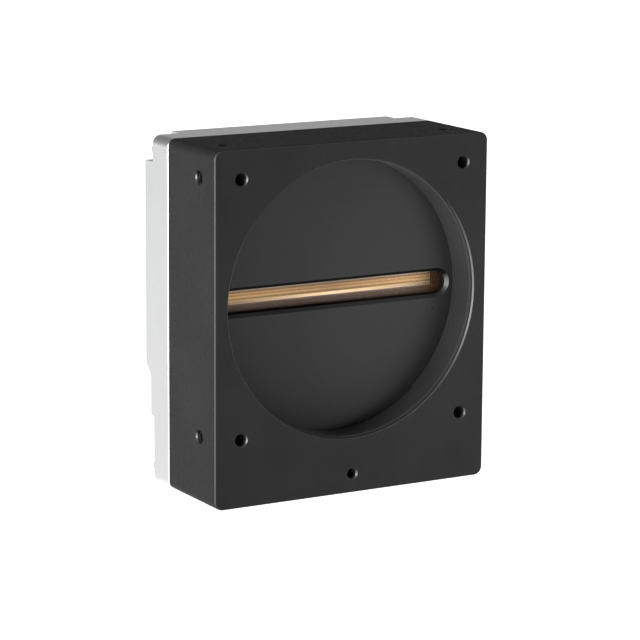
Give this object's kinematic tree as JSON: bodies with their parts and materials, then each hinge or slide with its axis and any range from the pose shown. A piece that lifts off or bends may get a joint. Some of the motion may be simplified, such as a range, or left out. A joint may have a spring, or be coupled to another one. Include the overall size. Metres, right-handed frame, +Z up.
{
  "type": "machine vision camera",
  "caption": "Line scan machine vision camera: black front block with a wide threaded lens bore, slit-shaped line sensor at its floor, and an aluminium rear shell with sockets.",
  "frame": {"origin": "on the lens axis at the front face of the front block", "axes": "-Y out of the lens bore towards the scene, +X to the right as seen from the front, +Z up"},
  "size_m": [0.105, 0.0515, 0.12],
  "materials": {
    "housing_black": "matt black anodised",
    "shell_aluminium": "satin, clear anodised",
    "plain_aluminium": "milled",
    "screw_steel": "bright",
    "nickel": "nickel plated",
    "gold_contact": "gold plated",
    "brass_pillar": "nickel plated",
    "circuit_board": "solder mask",
    "ceramic": "dark ceramic",
    "silicon": "polished die",
    "die_attach": "adhesive film",
    "cover_glass": "clear",
    "seal_rubber": "matt",
    "thermal_pad": "soft grey",
    "chip_plastic": "moulded",
    "connector_plastic": "moulded",
    "insulator_white": "smooth",
    "insulator_black": "smooth",
    "lamp_white": "smooth",
    "light_pipe": "clear"
  },
  "bodies": {
    "root": {"board_standoffs": "brass_pillar", "coax_contact_1": "gold_contact", "coax_contact_2": "gold_contact", "coax_contact_3": "gold_contact", "coax_contact_4": "gold_contact", "coax_insulator_1": "insulator_white", "coax_insulator_2": "insulator_white", "coax_insulator_3": "insulator_white", "coax_insulator_4": "insulator_white", "coax_nuts": "nickel", "coax_shell_1": "nickel", "coax_shell_2": "nickel", "coax_shell_3": "nickel", "coax_shell_4": "nickel", "die_film": "die_attach", "front_housing": "housing_black", "heat_spreader": "plain_aluminium", "interface_board": "circuit_board", "interface_board_screws": "screw_steel", "light_pipe": "light_pipe", "line_drivers": "chip_plastic", "link_plug": "connector_plastic", "link_socket": "connector_plastic", "lower_stack_plug": "connector_plastic", "lower_stack_socket": "connector_plastic", "memory_chip_1": "chip_plastic", "memory_chip_2": "chip_plastic", "memory_chip_3": "chip_plastic", "memory_chip_4": "chip_plastic", "power_inductor_1": "chip_plastic", "power_inductor_2": "chip_plastic", "power_inductor_3": "chip_plastic", "power_insulator": "insulator_black", "power_nut": "nickel", "power_pins": "gold_contact", "power_shell": "nickel", "processor_board": "circuit_board", "processor_board_screws": "screw_steel", "processor_chip": "chip_plastic", "processor_pad": "thermal_pad", "rear_shell": "shell_aluminium", "sensor_board": "circuit_board", "sensor_board_screws": "screw_steel", "sensor_die": "silicon", "sensor_package": "ceramic", "sensor_pad": "thermal_pad", "sensor_seal": "seal_rubber", "sensor_window": "cover_glass", "shell_screws": "screw_steel", "spreader_screws": "screw_steel", "spreader_spacers": "brass_pillar", "status_lamp": "lamp_white", "supply_capacitors": "chip_plastic", "upper_stack_plug": "connector_plastic", "upper_stack_socket": "connector_plastic"}
  },
  "joints": []
}
